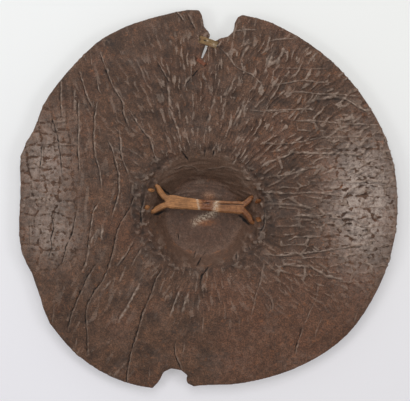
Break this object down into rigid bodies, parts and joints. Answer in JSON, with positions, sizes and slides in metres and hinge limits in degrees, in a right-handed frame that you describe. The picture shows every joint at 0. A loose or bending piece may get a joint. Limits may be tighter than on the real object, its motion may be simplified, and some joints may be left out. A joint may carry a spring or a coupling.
{
  "type": "hide shield",
  "caption": "Round thick hide shield lying inner side up, with a hollow boss, a forked rawhide handle across it, a notched rim and a laced tear.",
  "frame": {"origin": "middle of the shield's outline, at the height of the flat crown of the boss that it lies on", "axes": "+Z from the outer side to the inner side with the handle, +Y towards the torn notch in the rim, +X to the right with the handle facing the eye"},
  "size_m": [0.6006, 0.6008, 0.0615],
  "materials": {
    "hide": "dry thick hide, brown, worn shiny on its ridges",
    "handle_rawhide": "tan rawhide, satin, with fine lengthwise streaks",
    "lace_rawhide": "ochre rawhide, satin",
    "stitch_rawhide": "reddish rawhide, matt"
  },
  "bodies": {
    "root": {"hide": "hide", "handle": "handle_rawhide", "tear_lace": "lace_rawhide", "tear_stitch": "stitch_rawhide"}
  },
  "joints": []
}
